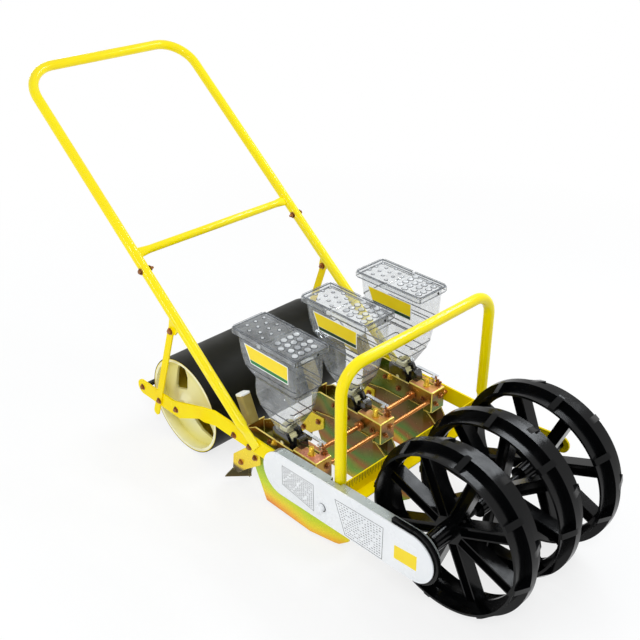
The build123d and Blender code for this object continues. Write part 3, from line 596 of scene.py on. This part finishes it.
# Frame fasteners
PLATE_BOLTS = (     # behind the axle, above the floor, the face under the head, and the depth to the nut
    (935, 129, PLATE_OUT, 5), (791, 129, PLATE_OUT, 5), (858, 125, PLATE_OUT - 4, 9),
    (573, 161, PLATE_FRONT, 5), (518, 156, PLATE_FRONT, 5),
)
STRUT_TOP = (776, 363)      # a strut's top bolt, in the tab under the handle's leg
CROSSBAR_AT = 470           # up the leg from its foot
HOOP_BOLTS = (168, 186)     # heights of the two bolts in the hoop's drive-side foot


def frame_bolts(bm):
    for side in (-1, 1):
        out = X * side
        for y, z, face, deep in PLATE_BOLTS:
            bolt(bm, at(-side * face, y, z), out)
            nut(bm, at(-side * (face + deep), y, z), -out)
        bolt(bm, at(-side * (PLATE_OUT - 4), *STRUT_TOP), out, across=12, washer=9)
        nut(bm, at(-side * (PLATE_OUT + 4), *STRUT_TOP), -out, across=12, washer=9)
        bolt(bm, on_leg(CROSSBAR_AT, side * LEG_OUTER), out)
        nut(bm, on_leg(CROSSBAR_AT, side * LEG_INNER), -out)
    for z in HOOP_BOLTS:
        bolt(bm, at(-PLATE_FRONT + 3.5, 225, z), X)


make_piece("frame_bolts", frame_bolts, "bolt", "frame")


# Ticks on the angle's upright face, like a plain rule
TICK_STEP, TICK_COUNT = 5, 92
LONG_TICK, SHORT_TICK = 20.0, 13.0


def rule_ticks(bm):
    low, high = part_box("spacing_angle")
    face_y = high.y - 3.05 * MM
    for k in range(1, TICK_COUNT + 1):
        x = low.x + k * TICK_STEP * MM
        tall = SHORT_TICK if k % 2 else LONG_TICK
        slab(bm, rounded(1.3, tall, 0.2, 1), (x, face_y, high.z - (tall / 2 + 1) * MM), -X, Z, 0.12)


make_piece("rule_ticks", rule_ticks, "ink", "frame")


# Cover: two tables of plain dashes and a bare yellow label
def on_cover(y, z):
    return at(COVER_FACE, y, z)


TABLES = (      # corners, behind the axle and above the floor, from the top left round
    ((369, 204), (272, 208), (271, 139), (369, 153)),
    ((208, 209), (75, 218), (76, 136), (178, 133)),
)
TABLE_ROWS, TABLE_COLUMNS = 13, 16
DASH_HALF = 0.8         # half the height of a dash


def table_prints(bm):
    """Thin frame round each table, and rows of short dashes in it."""
    for tl, tr, br, bl in TABLES:
        corners = [tl, tr, br, bl]
        for a, b in zip(corners, corners[1:] + corners[:1]):
            a, b = Vector(a), Vector(b)
            run = (b - a).normalized()
            side = Vector((run.y, -run.x)) * 0.6
            outline = [a - side, b - side, b + side, a + side]
            slab(bm, [(-p.x, p.y) for p in outline], on_cover(0, 0), -Y, Z, 0.1)
        for row in range(1, TABLE_ROWS):
            for column in range(1, TABLE_COLUMNS):
                if (row * 7 + column * 3) % 11 == 0 or (row % 5 == 0 and column % 4 == 0):
                    continue
                share = column / TABLE_COLUMNS
                top = Vector(tl).lerp(Vector(tr), share)
                low = Vector(bl).lerp(Vector(br), share)
                spot = top.lerp(low, row / TABLE_ROWS)
                half = (2.6 + (row + column) % 3) / 2
                dash = [(-spot.x + a * half, spot.y + b * DASH_HALF)
                        for a, b in ((-1, -1), (1, -1), (1, 1), (-1, 1))]
                slab(bm, dash, on_cover(0, 0), -Y, Z, 0.1)


def cover_label(bm):
    slab(bm, [(-45, 162), (12, 166), (12, 202), (-45, 195)], on_cover(0, 0), -Y, Z, 0.15)


def knob_shadow_ring(bm):
    """Dark ring round the foot of the cover's knob, set a little off centre: a painted shadow."""
    low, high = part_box("cover_knob")
    middle = (low + high) / 2
    ring = [(8.6, 0), (10.4, 0), (10.4, 0.6), (8.6, 0.6), (8.6, 0)]
    face_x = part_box("case_cover")[0].x
    turned(bm, ring, Vector((face_x, middle.y - 0.9 * MM, middle.z - 0.5 * MM)), -X, 28)


make_piece("knob_shadow_ring", knob_shadow_ring, "painted_shade_line", "frame")
make_piece("cover_tables", table_prints, "print", "frame")
make_piece("cover_label", cover_label, "label_yellow", "frame")


# Stickers on the hoppers' drive-side walls
WALL_AT = 41.9               # from a hopper's middle to its wall at the foot of the sticker
WALL_SLOPE = 0.5 / 53.5      # how much the wall leans out for each mm of height


def sticker(bm, x, y0, y1, z0, z1, lean, proud):
    """Four-sided panel on the wall, its rear edge leaning back by lean at the top."""
    wall = x - WALL_AT
    out = [wall - (z - z0) * WALL_SLOPE - proud for z in (z0, z0, z1, z1)]
    spots = ((y0, z0), (y1, z0), (y1 + lean, z1), (y0, z1))
    outer = [bm.verts.new(at(o, y, z)) for o, (y, z) in zip(out, spots)]
    inner = [bm.verts.new(at(o + 0.25, y, z)) for o, (y, z) in zip(out, spots)]
    bm.faces.new(outer)
    bm.faces.new(inner[::-1])
    for k in range(4):
        nxt = (k + 1) % 4
        bm.faces.new((outer[k], outer[nxt], inner[nxt], inner[k]))


DOME_REACH = 36     # from the lid's middle to the sides of the field of domes


def bump_places(run, count):
    """Staggered places on one half of a lid, as (across from its middle, behind the axle)."""
    y0, y1 = run
    rows, columns = count
    for row in range(rows):
        for column in range(columns):
            shift = 0.25 if row % 2 else -0.25
            across = -DOME_REACH + 2 * DOME_REACH * (column + 0.5 + shift) / columns
            yield across, y0 + (y1 - y0) * (row + 0.5) / rows


def domes(bm, x, places, r, h):
    """Low domes on one half of a lid."""
    arc = [(r * math.cos(math.radians(t)), h * math.sin(math.radians(t))) for t in (0, 18, 36, 54, 72)]
    for dx, y in bump_places(*places):
        turned(bm, [(r, -0.4), *arc, (0, h)], at(x + dx, y, LID_TOP), Z, 20)


def dome_shade_crescents(bm, x, places, r, shift):
    """Dark rings that show as crescents round the near side of the domes: painted shade."""
    inner, outer = r - 0.8, r + 0.8
    ring = [(inner, -0.2), (outer, -0.2), (outer, 0.3), (inner, 0.3), (inner, -0.2)]
    for dx, y in bump_places(*places):
        turned(bm, ring, at(x + dx - shift, y - shift, LID_TOP), Z, 24)


STICKER_PARTS = (       # part, look, and its sizes for sticker()
    ("edge", "label_white", (381, 501, 389, 433, 20, 0.3)),
    ("panel", "label_yellow", (383, 503, 399.5, 431, 14.5, 0.45)),
    ("stripe", "label_dark", (383, 499.5, 391, 399, 3.6, 0.45)),
)
REAR_DOMES = ((462, 548), (4, 3))       # run behind the axle, rows and columns
FRONT_DOMES = ((360, 444), (4, 4))
for k, x in enumerate(UNIT_X, 1):
    for part, look, sizes in STICKER_PARTS:
        if k == 1 and part == "stripe":
            look = "label_green"
        make_piece(f"sticker_{part}_{k}", lambda bm: sticker(bm, x, *sizes), look, "frame")
    make_piece(f"lid_bumps_{k}", lambda bm: domes(bm, x, REAR_DOMES, 3.6, 1.8), "lens", "frame")
    make_piece(f"lid_shade_crescents_{k}", lambda bm: dome_shade_crescents(bm, x, REAR_DOMES, 4.0, 0.7), "painted_shade_line", "frame")
    flap = f"flap_{k}"
    make_piece(f"flap_bumps_{k}", lambda bm: domes(bm, x, FRONT_DOMES, 7.0, 3.4), "lens", flap)
    make_piece(f"flap_shade_crescents_{k}", lambda bm: dome_shade_crescents(bm, x, FRONT_DOMES, 7.2, 1.0), "painted_shade_line", flap)


# Fasteners and fittings of each unit
OPENER_BOLTS = ((518, 116), (572, 74))      # behind the axle, above the floor
UNIT_SIDE_BOLTS = (     # behind the axle, above the floor, across the flats, washer's radius
    (470, 186, 8, 7), (424, 172, 10, 8), (345, 178, 9, 8),
)


def unit_bolts(bm, x):
    wing_bolt(bm, at(x + 16, 333, BOX_TOP), Z, Y + X * 0.4)
    bolt(bm, at(x + 8, BOX_FRONT, 186), -Y, across=10, washer=9)
    nut(bm, at(x - 9, BOX_FRONT, 170), -Y, across=8, washer=7, reach=10)
    for side in (-1, 1):
        face = x + side * (OPENER_HALF + 3)
        for y, z in OPENER_BOLTS:
            bolt(bm, at(face, y, z), X * side, across=10, washer=8)
        for y, z, across, washer in UNIT_SIDE_BOLTS:
            bolt(bm, at(x + side * UNIT_HALF, y, z), X * side, across, washer)


def unit_stud(bm, x):
    """Threaded stud that stands in the slot of the unit's top, with its washer."""
    turned(bm, [(0, 0), (9, 0), (9, 1.4), (0, 1.4)], at(x - 6, 351, BOX_TOP), Z, 24)
    rings = [(6.2 - 0.9 * (step % 2), 1.4 + 1.4 * step) for step in range(13)]
    turned(bm, [*rings, (4.6, 20), (0, 20.6)], at(x - 6, 351, BOX_TOP), Z, 20)


def unit_nuts(bm, x):
    """Yellow nuts on both sides, where the hopper's foot is held."""
    for side in (-1, 1):
        nut(bm, at(x + side * UNIT_HALF, 452, 193), X * side, across=11, washer=8, reach=10)


def unit_strip(bm, x):
    """Bright strip beside the seed gate, with its foot on the unit's top."""
    outline = [(13, 344), (31.5, 344), (31.5, 411), (22.6, 411), (22.6, 354), (13, 354)]
    slab(bm, outline, at(x, 0, STRIP_Z), X, Y, 3)
    turned(bm, [(0, -13), (3, -13), (3, 0), (0, 0)], at(x + 17.5, 349, STRIP_Z + 0.2), Z, 16)


def gate_ring(bm, x):
    """Cream seat round the seed outlet, inside the foot of the hopper."""
    outer, inner = rounded(36, 24, 5), rounded(28, 16, 3)
    rings = []
    for outline, z in ((outer, 234), (outer, 243), (inner, 245), (inner, 234)):
        rings.append([bm.verts.new(at(x + a, 431.5 + b, z)) for a, b in outline])
    for lower, upper in zip(rings, rings[1:] + rings[:1]):
        for step in range(len(lower)):
            nxt = (step + 1) % len(lower)
            bm.faces.new((lower[step], lower[nxt], upper[nxt], upper[step]))


LEVER_LEAN = Vector((0, 0.409, 0.913))


def grip_cap(bm, x):
    """Pale rounded top of the depth lever's grip block."""
    top = at(x - 12, 575, 262)
    slab(bm, rounded(27.0, 27.0, 5), top - LEVER_LEAN * 5 * MM, X, LEVER_LEAN.cross(X), 7)


def lid_catch(bm, x):
    """Small catch on the lid's drive-side skirt."""
    slab(bm, rounded(11, 9, 2), at(x - 50, 462, HOPPER_TOP - 5), -Y, Z, 1.8)
    slab(bm, rounded(7, 3, 1), at(x - 51.8, 462, HOPPER_TOP - 6.5), -Y, Z, 1.6)


def flap_rivet(bm, x):
    """Dark rivet in the front skirt of the lid's flap."""
    head = [(0, 0), (3.2, 0), (3.2, 0.8), (2.2, 1.6), (0, 1.9)]
    turned(bm, head, at(x + 14, 349, HOPPER_TOP - 4), -Y, 20)


UNIT_PARTS = (          # building function, look, bevel in mm
    (unit_bolts, "bolt", 0.25), (unit_stud, "gold", 0.0), (unit_nuts, "gold", 0.2),
    (unit_strip, "aluminium", 0.0), (gate_ring, "cream", 0.6), (grip_cap, "grip_top", 2.2),
    (lid_catch, "lens", 0.4),
)
for k, x in enumerate(UNIT_X, 1):
    # Painted shade lines on the hoppers and lids, and painted highlights on the units' sheet edges.
    edge_lines(f"hopper_{k}", "painted_shade_line", "frame", wall_rim, 0.7)
    edge_lines(f"lid_{k}", "rim", "frame", lid_rim, 0.6)
    edge_lines(f"lid_flap_{k}", "rim", f"flap_{k}", lid_rim, 0.6)
    edge_lines(f"unit_frame_{k}", "zinc_edge", "frame", sheet_rim, 0.8)
    for build, look, bevel_mm in UNIT_PARTS:
        make_piece(f"{build.__name__}_{k}", lambda bm: build(bm, x), look, "frame", bevel_mm)
    make_piece(f"flap_rivet_{k}", lambda bm: flap_rivet(bm, x), "dark", f"flap_{k}")


# Light and floor
WORLD_LIGHT = 0.62      # strength of the world for the rays that don't show it
FLOOR_GLOW = 0.78       # share of plain white in the floor round the machine
FLOOR_REACH = 6.0       # from the middle to each edge, in metres


def make_light(name, where, towards, size, power, colour=(1, 1, 1)):
    data = bpy.data.lights.new(name, "AREA")
    data.shape = "RECTANGLE"
    data.size, data.size_y = size
    data.energy = power
    data.color = colour
    lamp = bpy.data.objects.new(name, data)
    lamp.location = where
    lamp.rotation_euler = (Vector(towards) - Vector(where)).to_track_quat("-Z", "Y").to_euler()
    scene.collection.objects.link(lamp)


def seen_rays(tree):
    """1 for rays that show the background: from the camera, mirrored or through clear parts."""
    rays = tree.nodes.new("ShaderNodeLightPath").outputs
    mirrored = sums(tree, "MAXIMUM", rays["Is Camera Ray"], rays["Is Glossy Ray"])
    return sums(tree, "MAXIMUM", mirrored, rays["Is Transmission Ray"])


def make_world():
    """White to the eye, and an even studio light to everything else."""
    world = bpy.data.worlds.new("studio")
    scene.world = world
    world.use_nodes = True
    tree = world.node_tree
    background = tree.nodes["Background"]
    seen = seen_rays(tree)
    put(tree, background.inputs["Color"], mix(tree, seen, (0.94, 0.97, 1.0, 1), (1.0, 1.0, 1.0, 1)))
    put(tree, background.inputs["Strength"], span(tree, seen, WORLD_LIGHT, 1.0, 0.0, 1.0))


def make_floor():
    """White sheet that keeps the shadow near the machine and fades into the white round it."""
    mesh = bpy.data.meshes.new("studio_floor")
    corners = [(a * FLOOR_REACH, b * FLOOR_REACH, 0) for a, b in ((-1, -1), (1, -1), (1, 1), (-1, 1))]
    mesh.from_pydata(corners, [], [(0, 1, 2, 3)])
    floor = bpy.data.objects.new("studio_floor", mesh)
    scene.collection.objects.link(floor)
    material, tree, shader = new_material("floor_white")
    shader.inputs["Base Color"].default_value = (0.96, 0.96, 0.955, 1)
    shader.inputs["Specular IOR Level"].default_value = 0.1
    put(tree, shader.inputs["Roughness"], span(tree, noise(tree, 3.0), 0.85, 0.95))
    white = tree.nodes.new("ShaderNodeEmission")
    white.inputs["Color"].default_value = (1, 1, 1, 1)
    away = tree.nodes.new("ShaderNodeVectorMath")
    away.operation = "LENGTH"
    tree.links.new(tree.nodes.new("ShaderNodeTexCoord").outputs["Object"], away.inputs[0])
    share = span(tree, away.outputs["Value"], FLOOR_GLOW, 1.0, 0.75, 2.2)
    lit = blend(tree, sums(tree, "MULTIPLY", share, seen_rays(tree)), shader.outputs["BSDF"],
                white.outputs["Emission"])
    tree.links.new(lit, tree.nodes["Material Output"].inputs["Surface"])
    mesh.materials.append(material)


make_light("key_box", (-1.5, -1.6, 2.4), (0, -0.1, 0.2), (0.45, 0.45), 18)
make_light("side_strip", (-2.3, 0.4, 1.1), (0, 0, 0.3), (0.1, 1.4), 9)
make_light("back_strip", (0.2, 2.4, 1.2), (0, 0, 0.3), (1.4, 0.15), 8)
for k, x in enumerate((1.15, 1.5), 1):
    make_light(f"wheel_strip_{k}", (x, -0.4, 1.9), (0, -0.58, 0.38), (1.4, 0.1), 10, (0.9, 0.95, 1.0))
make_world()
make_floor()

scene.view_settings.view_transform = "Standard"
